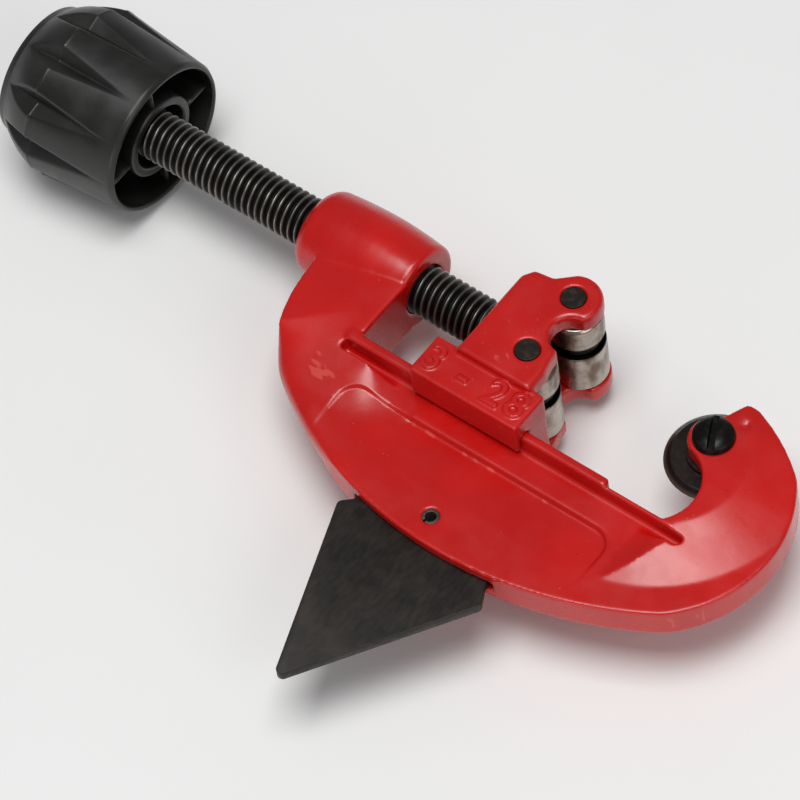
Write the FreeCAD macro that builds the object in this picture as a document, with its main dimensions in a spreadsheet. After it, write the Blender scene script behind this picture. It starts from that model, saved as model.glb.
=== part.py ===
import FreeCAD, Part
import math
import os
import Sketcher

# Pipe cutter, millimetres. The tool lies flat: +X runs along the feed screw from the knob to the
# hook, +Z is the normal of the frame's web, +Y is the side on which the jaw opens. The origin is
# the point of the cutting wheel's edge that faces the rollers.

DIMENSIONS = [
    # cutting wheel and its axle screw
    ("wheel_radius", 7.6, "sharp edge of the cutting wheel"),
    ("wheel_disc_half", 1.0, "half thickness of the disc"),
    ("wheel_bevel", 1.1, "width of the bevel that makes the edge"),
    ("wheel_hub_radius", 4.2, "hub that keeps the disc upright"),
    ("wheel_hub_half", 1.9, "half length of the hub"),
    ("axle_radius", 2.0, "shank of the wheel screw"),
    ("axle_head_radius", 3.2, "pan head of the wheel screw"),
    ("axle_head_height", 1.8, "height of the pan head"),
    ("axle_slot_width", 1.0, "screwdriver slot"),
    ("axle_slot_depth", 0.9, "depth of the screwdriver slot"),
    ("axle_slot_turn", 117.0, "direction of the slot, degrees from +X"),
    # rollers
    ("roller_radius", 4.13, "tube roller"),
    ("roller_half", 7.4, "half length of a roller"),
    ("roller_spacing", 11.1, "between the two roller axes"),
    ("roller_x", -21.2, "both roller axes at rest"),
    ("roller_pin_radius", 1.9, "roller pin"),
    ("flare_low", 0.4, "lower end of the flare groove"),
    ("flare_high", 2.8, "upper end of the flare groove"),
    ("flare_radius", 3.55, "bottom of the flare groove"),
    ("roller_edge", 0.4, "chamfer at a roller's ends"),
    # fits
    ("running_gap", 0.05, "radial play of a turning fit"),
    ("thread_gap", 0.1, "radial play of the feed screw in the boss"),
    ("slide_gap", 0.1, "play of the saddle on the rail, each face"),
    ("side_gap", 0.1, "play at the ends of the wheel and the rollers"),
    # travel of the carriage
    ("open_travel", 10.625, "from rest until the jaw is fully open"),
    ("stop_gap", 0.45, "left between saddle and wall when fully open"),
    # carriage
    ("cheek_thickness", 3.2, "each cheek"),
    ("cheek_back", 8.85, "from the roller axes back to the cheeks' edge"),
    ("lobe_radius", 4.35, "cheek round each roller pin"),
    ("body_front_gap", 0.45, "between the rollers and the carriage's body"),
    ("socket_back", 10.4, "from the roller axes back to the socket's face"),
    ("socket_radius", 6.5, "round socket for the screw's nose"),
    ("saddle_back", 13.0, "from the roller axes back to the saddle's end"),
    ("saddle_front", 6.3, "from the roller axes to the saddle's front end"),
    ("saddle_over", 1.7, "saddle beyond the cheeks' inner faces, each side"),
    ("saddle_clear", 0.27, "between the lower roller and the saddle"),
    ("saddle_bridge", 4.35, "saddle between its upper face and the rail"),
    ("lip_thickness", 1.0, "saddle lip under the rail's head"),
    ("lip_clear", 0.7, "between the lips and the web, each side"),
    # rail
    ("head_depth", 1.6, "depth of the rail's T-shaped head"),
    ("head_half", 5.7, "half width of the head"),
    ("head_front", -0.3, "front end of the sliding face"),
    ("head_step", 0.9, "step down beyond the sliding face"),
    # frame
    ("web_half", 2.6, "half thickness of the web"),
    ("rim_half", 2.3, "half thickness at the outer edge"),
    ("rim_radius", 64.8, "back of the frame"),
    ("rim_centre_x", -15.6, "centre of the back's arc"),
    ("back_y", -36.6, "lowest point of the back's arc"),
    ("boss_length", 20.2, "barrel round the feed screw"),
    ("boss_radius", 7.4, "barrel at its middle"),
    ("hook_half", 5.2, "half thickness of the hook"),
    ("hook_back", 17.8, "from the wheel's axis to the outermost point of the hook"),
    ("hook_over", 0.15, "hook's tip above the wheel's edge"),
    ("nose_radius", 3.85, "hook round the axle"),
    ("wheel_slot_gap", 0.7, "slot beyond the wheel's edge"),
    ("channel_front", 6.3, "from the wheel's axis to the front end of the rail's channel"),
    ("edge_round", 0.8, "rounded edges of the carriage's cheeks"),
    ("panel_depth", 0.5, "shallow panel in the web"),
    ("channel_back", 1.8, "the lips' channel reaches behind the window's wall"),
    ("channel_room", 0.4, "channel below the saddle's lips"),
    ("raise_left_gap", 1.0, "from the boss's end to where the raised left side begins"),
    ("raise_right", 13.0, "the raised left side runs out this far right of the window's wall"),
    ("raise_start", 4.0, "above the rail's top, where the raised left side starts to fall"),
    ("raise_stop", 16.5, "below the rail's top, where it has run out"),
    ("hook_fall_high", 9.0, "right of the wheel's axis, where the thick hook starts to fall to the web"),
    ("hook_fall_low", 5.0, "left of the wheel's axis, where it has run out"),
    ("raise_run_out", 0.6, "the raised surface dives this far under the web's face"),
    # reamer
    ("blade_half", 0.8, "half thickness of the reamer blade"),
    ("blade_gap", 0.05, "play of the blade in its slot, each side"),
    ("reamer_pin_radius", 1.3, "spring pin"),
    ("reamer_pin_wall", 0.45, "wall of the rolled pin"),
    ("reamer_pin_slit", 0.4, "slit of the rolled pin"),
    # feed screw
    ("crest_radius", 3.95, "crest of the M8 thread"),
    ("thread_pitch", 1.25, "advance per turn"),
    ("thread_depth", 0.75, "crest to root"),
    ("nose_pin_radius", 3.1, "plain nose in the carriage"),
    ("nose_floor", 1.2, "wall in front of the nose"),
    ("nose_collar", 1.1, "collar in front of the groove"),
    ("groove_radius", 2.3, "bottom of the nose's groove"),
    ("dowel_radius", 0.6, "retaining pin"),
    ("shank_radius", 2.9, "shank inside the knob"),
    # knob
    ("knob_rim_x", -94.75, "open rim of the knob at rest"),
    ("knob_length", 23.6, "knob along the screw"),
    ("knob_rim_radius", 12.5, "outside at the rim"),
    ("knob_ridge_radius", 14.0, "largest radius, at the parting ridge"),
    ("knob_ridge_back", 15.7, "from the rim to the parting ridge"),
    ("knob_end_radius", 10.7, "radius at the closed end"),
    ("knob_wall", 0.9, "wall at the rim"),
    ("knob_flutes", 11, "flutes round the knob"),
    ("flute_depth", 1.7, "flute at the ridge"),
    ("hub_radius", 6.8, "outside of the hub ring"),
    ("hub_bore", 5.3, "inside of the hub ring"),
    ("rib_half", 0.4, "half thickness of a rib"),
    ("cap_radius", 6.0, "plug cap in the closed end"),
    ("cap_thickness", 1.15, "plug cap"),
    ("knob_screw_radius", 1.95, "shank of the knob screw"),
    ("knob_screw_head", 3.5, "head of the knob screw"),
    ("washer_radius", 5.0, "washer under the head"),
    ("washer_thickness", 0.8, "washer under the head"),
]

doc = FreeCAD.newDocument("pipe_cutter")
sheet = doc.addObject("Spreadsheet::Sheet", "dim")
for row, (alias, value, meaning) in enumerate(DIMENSIONS, start=1):
    sheet.set(f"A{row}", meaning)
    sheet.set(f"B{row}", str(value))
    sheet.setAlias(f"B{row}", alias)
doc.recompute()

S = {alias: float(sheet.get(alias)) for alias, value, meaning in DIMENSIONS}
V = FreeCAD.Vector
BIG = 200.0
AXIS_X = V(1, 0, 0)
AXIS_Z = V(0, 0, 1)

# Places that follow from the driving dimensions.
ROLLER_Y = S["roller_spacing"] / 2
CHEEK_IN = S["roller_half"] + S["side_gap"]
CHEEK_OUT = CHEEK_IN + S["cheek_thickness"]
CHEEK_LEFT = S["roller_x"] - S["cheek_back"]
BODY_FRONT = S["roller_x"] - S["roller_radius"] - S["body_front_gap"]
SOCKET_LEFT = S["roller_x"] - S["socket_back"]
SADDLE_LEFT = S["roller_x"] - S["saddle_back"]
SADDLE_RIGHT = S["roller_x"] + S["saddle_front"]
SADDLE_TOP = -ROLLER_Y - S["roller_radius"] - S["saddle_clear"]
SADDLE_HALF = CHEEK_IN + S["saddle_over"]
LIP_INNER = S["web_half"] + S["lip_clear"]
RAIL_TOP = SADDLE_TOP - S["saddle_bridge"]
HEAD_BOTTOM = RAIL_TOP - S["head_depth"]
WALL_X = SADDLE_LEFT - S["open_travel"] - S["stop_gap"]
BOSS_LEFT = WALL_X - S["boss_length"]
WHEEL_X = S["wheel_radius"]
HOOK_RIM_X = WHEEL_X + S["hook_back"]
RIM_CENTRE_Y = S["back_y"] + S["rim_radius"]
TIP_Y = S["wheel_radius"] + S["hook_over"]
NOSE_END = BODY_FRONT - S["nose_floor"]
GROOVE_HALF = S["dowel_radius"] + S["running_gap"]
GROOVE_X = NOSE_END - S["nose_collar"] - GROOVE_HALF
DOWEL_Y = S["groove_radius"] + S["dowel_radius"] + S["running_gap"]
KNOB_END = S["knob_rim_x"] - S["knob_length"]


def part_feature(label, shape):
    """A finished shape as a labelled object of the document."""
    feature = doc.addObject("Part::Feature", label)
    feature.Label = label
    feature.Shape = shape
    return feature


def box(low, high):
    """Block between two corners."""
    sides = [b - a for a, b in zip(low, high)]
    return Part.makeBox(*sides, V(*low))


def bar_x(radius, x_low, x_high, y=0.0, z=0.0):
    return Part.makeCylinder(radius, x_high - x_low, V(x_low, y, z), AXIS_X)


def bar_z(radius, z_low, z_high, x=0.0, y=0.0):
    return Part.makeCylinder(radius, z_high - z_low, V(x, y, z_low), AXIS_Z)


def arc(start, through, end):
    return Part.Arc(V(*start, 0), V(*through, 0), V(*end, 0)).toShape()


def line(start, end):
    return Part.makeLine(V(*start, 0), V(*end, 0))


def prism(edges, z_low, z_high):
    """Flat outline in the XY plane, raised between two heights."""
    face = Part.Face(Part.Wire(Part.__sortEdges__(edges)))
    face.translate(V(0, 0, z_low))
    return face.extrude(V(0, 0, z_high - z_low))


def polygon_prism(points, low, high, along):
    """Closed polygon extruded along one axis; points lie in the plane across it."""
    places = {"x": lambda a, b: V(low, a, b), "y": lambda a, b: V(a, low, b), "z": lambda a, b: V(a, b, low)}
    reach = {"x": V(high - low, 0, 0), "y": V(0, high - low, 0), "z": V(0, 0, high - low)}
    corners = [places[along](a, b) for a, b in points]
    return Part.Face(Part.makePolygon(corners + corners[:1])).extrude(reach[along])


# ---------------------------------------------------------------- turned pieces


def lathe_body(label, profile, x="0", y="0", z="0", along_x=False):
    """PartDesign body turned from a closed half profile.

    profile holds (radius, height) pairs of expressions over the sheet's cells. The sketch lies in
    the body's XZ plane and every corner is held by its two distances from the axes.
    """
    body = doc.addObject("PartDesign::Body", label)
    body.Label = label
    sketch = body.newObject("Sketcher::SketchObject", label + "_profile")
    plane = [f for f in body.Origin.OriginFeatures if f.Role == "XZ_Plane"][0]
    sketch.AttachmentSupport = [(plane, "")]
    sketch.MapMode = "FlatFace"
    numbers = [(float(sheet.evalExpression(r)), float(sheet.evalExpression(t))) for r, t in profile]
    count = len(numbers)
    for index in range(count):
        start = V(*numbers[index], 0)
        end = V(*numbers[(index + 1) % count], 0)
        sketch.addGeometry(Part.LineSegment(start, end), False)
    for index in range(count):
        sketch.addConstraint(Sketcher.Constraint("Coincident", index, 2, (index + 1) % count, 1))
    for index, (radius, height) in enumerate(profile):
        bind_distance(sketch, "DistanceX", index, numbers[index][0], radius, -2)
        bind_distance(sketch, "DistanceY", index, numbers[index][1], height, -1)
    doc.recompute()
    turned = body.newObject("PartDesign::Revolution", label + "_turned")
    turned.Profile = sketch
    turned.ReferenceAxis = (sketch, ["V_Axis"])
    turned.Angle = 360.0
    for name, value in (("x", x), ("y", y), ("z", z)):
        body.setExpression(f"Placement.Base.{name}", value)
    if along_x:
        body.Placement.Rotation = FreeCAD.Rotation(V(0, 1, 0), 90)
    return body


def bind_distance(sketch, kind, index, number, expression, axis):
    """Hold one coordinate of a corner: on the axis when it is zero, else by a bound distance."""
    if expression == "0":
        sketch.addConstraint(Sketcher.Constraint("PointOnObject", index, 1, axis))
        return
    place = sketch.addConstraint(Sketcher.Constraint(kind, -1, 1, index, 1, number))
    sketch.setExpression(f"Constraints[{place}]", expression)


def make_cutting_wheel():
    bore = "dim.axle_radius + dim.running_gap"
    disc = "dim.wheel_radius - dim.wheel_bevel"
    half = "dim.wheel_hub_half"
    low = "dim.wheel_hub_half - dim.wheel_disc_half"
    high = "dim.wheel_hub_half + dim.wheel_disc_half"
    profile = [
        (bore, "0"),
        ("dim.wheel_hub_radius", "0"),
        ("dim.wheel_hub_radius", low),
        (disc, low),
        ("dim.wheel_radius", half),
        (disc, high),
        ("dim.wheel_hub_radius", high),
        ("dim.wheel_hub_radius", "2 * dim.wheel_hub_half"),
        (bore, "2 * dim.wheel_hub_half"),
    ]
    return lathe_body("cutting_wheel", profile, x="dim.wheel_radius", z="-dim.wheel_hub_half")


def make_roller(label, side):
    bore = "dim.roller_pin_radius + dim.running_gap"
    full = "2 * dim.roller_half"
    groove_low = "dim.roller_half + dim.flare_low"
    groove_high = "dim.roller_half + dim.flare_high"
    small = "dim.roller_radius - dim.roller_edge"
    profile = [
        (bore, "0"),
        (small, "0"),
        ("dim.roller_radius", "dim.roller_edge"),
        ("dim.roller_radius", groove_low),
        ("dim.flare_radius", groove_low),
        ("dim.flare_radius", groove_high),
        ("dim.roller_radius", groove_high),
        ("dim.roller_radius", full + " - dim.roller_edge"),
        (small, full),
        (bore, full),
    ]
    place = f"{side} * dim.roller_spacing / 2"
    return lathe_body(label, profile, x="dim.roller_x", y=place, z="-dim.roller_half")


def make_roller_pin(label, side):
    half = "(dim.roller_half + dim.side_gap + dim.cheek_thickness)"
    radius = "dim.roller_pin_radius"
    profile = [("0", "0"), (radius, "0"), (radius, "2 * " + half), ("0", "2 * " + half)]
    place = f"{side} * dim.roller_spacing / 2"
    return lathe_body(label, profile, x="dim.roller_x", y=place, z="-" + half)


def make_wheel_screw():
    """Pan head on the hook's front face, shank through the wheel into the back cheek."""
    radius = "dim.axle_radius"
    seat = "2 * dim.hook_half"
    profile = [
        ("0", "0"),
        (radius, "0"),
        (radius, seat),
        ("dim.axle_head_radius", seat),
        ("dim.axle_head_radius", seat + " + 0.45 * dim.axle_head_height"),
        ("0.93 * dim.axle_head_radius", seat + " + 0.7 * dim.axle_head_height"),
        ("0.72 * dim.axle_head_radius", seat + " + 0.9 * dim.axle_head_height"),
        ("0.4 * dim.axle_head_radius", seat + " + dim.axle_head_height"),
        ("0", seat + " + dim.axle_head_height"),
    ]
    turned = lathe_body("wheel_screw_turned", profile, x="dim.wheel_radius", z="-dim.hook_half")
    slot = doc.addObject("Part::Box", "wheel_screw_slot")
    slot.setExpression("Length", "4 * dim.axle_head_radius")
    slot.setExpression("Width", "dim.axle_slot_width")
    slot.setExpression("Height", "dim.axle_head_height")
    turn = "dim.axle_slot_turn"
    along = "2 * dim.axle_head_radius"
    across = "dim.axle_slot_width / 2"
    slot.setExpression("Placement.Base.x", f"dim.wheel_radius - {along} * cos({turn} * 1 deg)"
                       f" + {across} * sin({turn} * 1 deg)")
    slot.setExpression("Placement.Base.y", f"-{along} * sin({turn} * 1 deg) - {across} * cos({turn} * 1 deg)")
    slot.setExpression("Placement.Base.z", "dim.hook_half + dim.axle_head_height - dim.axle_slot_depth")
    slot.Placement.Rotation = FreeCAD.Rotation(AXIS_Z, S["axle_slot_turn"])
    screw = doc.addObject("Part::Cut", "wheel_screw")
    screw.Label = "wheel_screw"
    screw.Base = turned
    screw.Tool = slot
    return screw


# ---------------------------------------------------------------- reamer

BLADE_CORNERS = [(-32.7, -36.9), (-21.9, -65.8), (-4.8, -39.5)]
BLADE_SHOULDERS = [(-6.2, -36.8), (-8.2, -28.2), (-29.2, -26.9), (-31.0, -35.4)]
REAMER_PIN = (-19.1, -32.3)
BLADE_SLOT_ENDS = (-31.3, -5.6)
BLADE_SLOT_TOP = -26.5


def make_reamer_blade():
    """Flat triangular blade; its narrower tang fills the slot in the frame's back."""
    points = BLADE_CORNERS + BLADE_SHOULDERS
    half = S["blade_half"]
    blade = polygon_prism(points, -half, half, "z")
    tips = [e for e in blade.Edges if is_upright_at(e, BLADE_CORNERS)]
    blade = blade.makeFillet(0.9, tips)
    hole = bar_z(S["reamer_pin_radius"], -BIG, BIG, *REAMER_PIN)
    return part_feature("reamer_blade", blade.cut(hole))


def is_upright_at(edge, corners):
    """True for an edge parallel to Z that stands on one of the corners."""
    a = edge.Vertexes[0].Point
    b = edge.Vertexes[-1].Point
    upright = abs(a.x - b.x) < 1e-6 and abs(a.y - b.y) < 1e-6
    near = any(math.hypot(a.x - x, a.y - y) < 1e-3 for x, y in corners)
    return upright and near


def make_reamer_pin():
    """Rolled spring pin: a tube with a slit along one side."""
    radius = S["reamer_pin_radius"]
    half = S["web_half"] - 0.15
    tube = bar_z(radius, -half, half, *REAMER_PIN)
    tube = tube.cut(bar_z(radius - S["reamer_pin_wall"], -half, half, *REAMER_PIN))
    x, y = REAMER_PIN
    wide = S["reamer_pin_slit"] / 2
    slit = box((x - radius - 1, y - wide, -half), (x, y + wide, half))
    slit.rotate(V(x, y, 0), AXIS_Z, 70)
    return part_feature("reamer_pin", tube.cut(slit))


# ---------------------------------------------------------------- frame


def rim_point(x):
    """Point of the frame's back at a given x."""
    reach = x - S["rim_centre_x"]
    return (x, RIM_CENTRE_Y - math.sqrt(S["rim_radius"] ** 2 - reach ** 2))


def frame_outline():
    """Side view of the casting: back, hook, throat, rail and window wall, closed through the boss."""
    low_top = RAIL_TOP - S["head_step"]
    rim_x = HOOK_RIM_X
    left_top = (BOSS_LEFT + 5.3, -4.0)
    left_mid = (BOSS_LEFT + 6.9, -16.0)
    back_left = rim_point(BOSS_LEFT + 11.3)
    back_mid = rim_point(S["rim_centre_x"])
    back_right = rim_point(rim_x - 7.4)
    hook_side = (rim_x, -11.5)
    hook_high = (rim_x - 4.6, 1.9)
    tip_right = (WHEEL_X + 2.1, TIP_Y)
    tip_left = (WHEEL_X + 0.6, TIP_Y - 0.35)
    nose = S["nose_radius"]
    nose_top = (WHEEL_X - 0.27 * nose, 0.963 * nose)
    nose_left = (WHEEL_X - nose, 0.0)
    nose_low = (WHEEL_X - 0.53 * nose, -0.848 * nose)
    throat_mid = (WHEEL_X + 3.75, -9.6)
    throat_low = (WHEEL_X + 2.0, low_top)
    step_low = (S["head_front"], low_top)
    step_high = (S["head_front"], RAIL_TOP)
    wall_low = (WALL_X, RAIL_TOP)
    wall_high = (WALL_X, -4.0)
    return [
        arc(left_top, left_mid, back_left),
        arc(back_left, back_mid, back_right),
        arc(back_right, hook_side, hook_high),
        arc(hook_high, (WHEEL_X + 7.6, 5.6), tip_right),
        line(tip_right, tip_left),
        line(tip_left, nose_top),
        arc(nose_top, nose_left, nose_low),
        arc(nose_low, throat_mid, throat_low),
        line(throat_low, step_low),
        line(step_low, step_high),
        line(step_high, wall_low),
        line(wall_low, wall_high),
        line(wall_high, left_top),
    ]


def boss_solid():
    """Barrel with rounded ends, turned about the feed screw's axis."""
    left = BOSS_LEFT
    right = WALL_X
    top = S["boss_radius"]
    edges = [
        line((left, 0), (left, top - 2.4)),
        arc((left, top - 2.4), (left + 0.7, top - 1.2), (left + 2.6, top - 0.5)),
        arc((left + 2.6, top - 0.5), ((left + right) / 2, top), (right - 1.2, top - 0.5)),
        arc((right - 1.2, top - 0.5), (right - 0.35, top - 0.75), (right, top - 1.3)),
        line((right, top - 1.3), (right, 0)),
        line((right, 0), (left, 0)),
    ]
    face = Part.Face(Part.Wire(edges))
    return face.revolve(V(0, 0, 0), AXIS_X, 360)


def soft_fall(start, stop, high, low, place):
    """Two tangent arcs from (start, high) to (stop, low), level at both ends; place makes the 3D point."""
    run = (stop - start) / 2
    drop = (high - low) / 2
    radius = (run ** 2 + drop ** 2) / (2 * abs(drop))
    sag = math.copysign(radius - math.sqrt(radius ** 2 - (run / 2) ** 2), drop)
    middle = place(start + run, high - drop)
    first = Part.Arc(place(start, high), place(start + run / 2, high - sag), middle)
    second = Part.Arc(middle, place(stop - run / 2, low + sag), place(stop, low))
    return [first.toShape(), second.toShape()]


def mirrored_profile(upper, first, last, far):
    """Closed face from an upper chain of edges between two points and its mirror image below."""
    lower = [edge.mirror(V(0, 0, 0), AXIS_Z) for edge in upper]
    down = [Part.makeLine(p, V(p.x, p.y, -p.z)) for p in (first, last)]
    return Part.Face(Part.Wire(Part.__sortEdges__(upper + lower + down))).extrude(far)


def raised_left(outline_solid):
    """Thick region beside the window wall, falling softly to the rim, to the panel and below."""
    high = S["head_half"]
    low = S["rim_half"]
    sunk = S["web_half"] - S["raise_run_out"]
    left = BOSS_LEFT + S["raise_left_gap"]
    flat = WALL_X - S["channel_back"]
    stop = WALL_X + S["raise_right"]
    deep = V(0, BIG, 0)

    def across(x, z):
        return V(x, -BIG / 2, z)

    swell = (flat - left) ** 2 / (2 * (high - low)) + (high - low) / 2
    half_way = (left + flat) / 2
    crown = high - swell + math.sqrt(swell ** 2 - (flat - half_way) ** 2)
    upper = [Part.Arc(across(left, low), across(half_way, crown), across(flat, high)).toShape()]
    upper += soft_fall(flat, stop, high, sunk, across)
    wedge = mirrored_profile(upper, across(left, low), across(stop, sunk), deep)

    def down(y, z):
        return V(-BIG / 2, y, z)

    start = RAIL_TOP + S["raise_start"]
    finish = RAIL_TOP - S["raise_stop"]
    upper = [Part.makeLine(down(0, high), down(start, high))]
    upper += soft_fall(start, finish, high, sunk, down)
    slope = mirrored_profile(upper, down(0, high), down(finish, sunk), V(BIG, 0, 0))
    return outline_solid.common(wedge).common(slope)


def raised_hook(outline_solid):
    """Thick region of the hook: flat near the throat, a cone down to the outer rim."""
    centre = (WHEEL_X - 5.6, -5.0)
    flat_radius = 13.7
    rim_radius = HOOK_RIM_X - centre[0] + 0.5
    low = S["rim_half"]
    height = S["hook_half"] - low
    upper = Part.makeCone(rim_radius, flat_radius, height, V(*centre, low), AXIS_Z)
    lower = Part.makeCone(rim_radius, flat_radius, height, V(*centre, -low), V(0, 0, -1))
    middle = bar_z(rim_radius, -low, low, *centre)
    dome = outline_solid.common(upper.fuse([lower, middle]))
    sunk = S["web_half"] - S["raise_run_out"]

    def across(x, z):
        return V(x, HEAD_BOTTOM - BIG, z)

    full = WHEEL_X + S["hook_fall_high"]
    gone = WHEEL_X - S["hook_fall_low"]
    chain = soft_fall(gone, full, sunk, S["hook_half"], across)
    chain.append(Part.makeLine(across(full, S["hook_half"]), across(BIG, S["hook_half"])))
    below = mirrored_profile(chain, across(gone, sunk), across(BIG, S["hook_half"]), V(0, BIG, 0))
    above = box((-BIG, HEAD_BOTTOM, -BIG), (BIG, BIG, BIG))
    return dome.common(above).fuse(dome.common(below))


def channel_cut():
    """A channel to the web's face under the rail, each side, so that the saddle's lips can pass."""
    left = WALL_X - S["channel_back"]
    right = WHEEL_X + S["channel_front"]
    lip_low = HEAD_BOTTOM - S["slide_gap"] - S["lip_thickness"] - S["channel_room"]
    cuts = []
    for low, high in ((S["web_half"], BIG), (-BIG, -S["web_half"])):
        channel = box((left, lip_low, low), (right, HEAD_BOTTOM, high))
        corners = [e for e in channel.Edges if is_upright_at(e, [(right, lip_low)])]
        cuts.append(channel.makeFillet(1.2, corners))
    return cuts


def panel_cut(side):
    """Shallow panel: deepest along its upper edge and running out towards the rim."""
    left = WALL_X + 2.1
    right = WALL_X + 50.4
    top = HEAD_BOTTOM - 4.4
    height = 12.0
    radius = 3.6
    panel = box((left, top - height, -S["panel_depth"]), (right, top, 4.0))
    corners = [(left, top), (right, top), (left, top - height), (right, top - height)]
    panel = panel.makeFillet(radius, [e for e in panel.Edges if is_upright_at(e, corners)])
    tilt = math.degrees(math.atan(S["panel_depth"] / (height * 0.7)))
    panel.rotate(V(0, top, -S["panel_depth"]), AXIS_X, -tilt)
    panel.translate(V(0, 0, S["web_half"]))
    if side < 0:
        panel = panel.mirror(V(0, 0, 0), AXIS_Z)
    return panel


def make_frame():
    outline = frame_outline()
    web = S["web_half"]
    full = prism(outline, -S["head_half"], S["head_half"])
    plate = prism(outline, -web, web)
    left = WALL_X - S["channel_back"]
    front = S["head_front"]
    head = box((left, HEAD_BOTTOM, -S["head_half"]), (front, RAIL_TOP, S["head_half"]))
    low_head = box((front, HEAD_BOTTOM, -S["hook_half"]), (WHEEL_X + 4, RAIL_TOP - S["head_step"], S["hook_half"]))
    plate = plate.cut([panel_cut(1), panel_cut(-1)])
    cast = plate.fuse([raised_left(full), raised_hook(full), boss_solid(), low_head.common(full)])
    cast = cast.cut(channel_cut())
    cast = cast.fuse(head)
    bore = bar_x(S["crest_radius"] + S["thread_gap"], BOSS_LEFT - 1, WALL_X + 1)
    slot_half = S["wheel_hub_half"] + S["side_gap"]
    wheel_slot = bar_z(S["wheel_radius"] + S["wheel_slot_gap"], -slot_half, slot_half, WHEEL_X, 0)
    front_hole = bar_z(S["axle_radius"] + S["running_gap"], 0, BIG, WHEEL_X, 0)
    back_hole = bar_z(S["axle_radius"], -BIG, 0, WHEEL_X, 0)
    blade_half = S["blade_half"] + S["blade_gap"]
    slot_left, slot_right = BLADE_SLOT_ENDS
    blade_slot = box((slot_left, -60, -blade_half), (slot_right, BLADE_SLOT_TOP, blade_half))
    pin_hole = bar_z(S["reamer_pin_radius"], -BIG, BIG, *REAMER_PIN)
    cuts = [bore, wheel_slot, front_hole, back_hole, blade_slot, pin_hole]
    cast = cast.cut(cuts).removeSplitter()
    return part_feature("frame", cast)


# ---------------------------------------------------------------- carriage


def cheek_outline():
    """Side view of a cheek: a lobe round each roller pin and a straight back."""
    x = S["roller_x"]
    y = ROLLER_Y
    lobe = S["lobe_radius"]
    waist = (x + 0.45, 0.0)
    foot = SADDLE_TOP - 1.0
    tilt = math.radians(35)
    up_in = (x + lobe * math.cos(tilt), y - lobe * math.sin(tilt))
    low_in = (x + lobe * math.cos(tilt), -y + lobe * math.sin(tilt))
    crown = (x - lobe * math.cos(math.radians(62)), y + lobe * math.sin(math.radians(62)) - 0.15)
    return [
        line((CHEEK_LEFT, foot), (CHEEK_LEFT, y - 0.9)),
        line((CHEEK_LEFT, y - 0.9), (CHEEK_LEFT + 1.2, y + 0.95)),
        line((CHEEK_LEFT + 1.2, y + 0.95), (CHEEK_LEFT + 4.3, y + 1.35)),
        line((CHEEK_LEFT + 4.3, y + 1.35), crown),
        arc(crown, (x + lobe * 0.8, y + lobe * 0.6), up_in),
        arc(up_in, waist, low_in),
        arc(low_in, (x + lobe * 0.97, -y - lobe * 0.243), (x + lobe, -y - 1.5)),
        line((x + lobe, -y - 1.5), (x + lobe, foot)),
        line((x + lobe, foot), (CHEEK_LEFT, foot)),
    ]


def saddle_solid():
    """Block that rides on the rail: a T-slot takes the rail's head, lips hold it from below."""
    half = SADDLE_HALF
    gap = S["slide_gap"]
    lip_top = HEAD_BOTTOM - gap
    block = box((SADDLE_LEFT, lip_top - S["lip_thickness"], -half), (SADDLE_RIGHT, SADDLE_TOP, half))
    head_room = S["head_half"] + gap
    slot = box((SADDLE_LEFT, lip_top, -head_room), (SADDLE_RIGHT, RAIL_TOP + gap, head_room))
    mouth = box((SADDLE_LEFT, lip_top - BIG, -LIP_INNER), (SADDLE_RIGHT, lip_top, LIP_INNER))
    return block.cut([slot, mouth])


def make_carriage():
    outline = cheek_outline()
    front_cheek = prism(outline, CHEEK_IN, CHEEK_OUT)
    outer = [e for e in front_cheek.Edges if e.BoundBox.ZMin > CHEEK_OUT - 1e-6 and e.BoundBox.YMax > SADDLE_TOP]
    front_cheek = front_cheek.makeFillet(S["edge_round"], outer)
    back_cheek = front_cheek.mirror(V(0, 0, 0), AXIS_Z)
    body = box((CHEEK_LEFT, SADDLE_TOP - 1, -CHEEK_IN), (BODY_FRONT, ROLLER_Y + 1.1, CHEEK_IN))
    socket = bar_x(S["socket_radius"], SOCKET_LEFT, BODY_FRONT)
    cast = body.fuse([front_cheek, back_cheek, socket, saddle_solid()])
    cuts = [bar_x(S["nose_pin_radius"] + S["running_gap"], SOCKET_LEFT - 1, NOSE_END + S["side_gap"])]
    for side in (1, -1):
        cuts.append(bar_z(S["roller_pin_radius"], -BIG, BIG, S["roller_x"], side * ROLLER_Y))
        cuts.append(bar_z(S["dowel_radius"], -CHEEK_OUT, S["socket_radius"] - 1, GROOVE_X, side * DOWEL_Y))
    cast = cast.cut(cuts).removeSplitter()
    return part_feature("carriage", cast)


def make_retaining_pin(label, side):
    """Dowel pressed in from the back cheek, lying in the groove of the screw's nose."""
    pin = bar_z(S["dowel_radius"], -CHEEK_OUT, S["socket_radius"] - 1, GROOVE_X, side * DOWEL_Y)
    return part_feature(label, pin)


# ---------------------------------------------------------------- feed screw and knob

SHANK_START = 9.4
SHANK_END = 4.35
TAP_DEPTH = 11.0


def shank_places():
    """Where the shank begins inside the hub, and the shank's end face under the washer."""
    return KNOB_END + S["knob_length"] - SHANK_START, KNOB_END + SHANK_END


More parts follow.
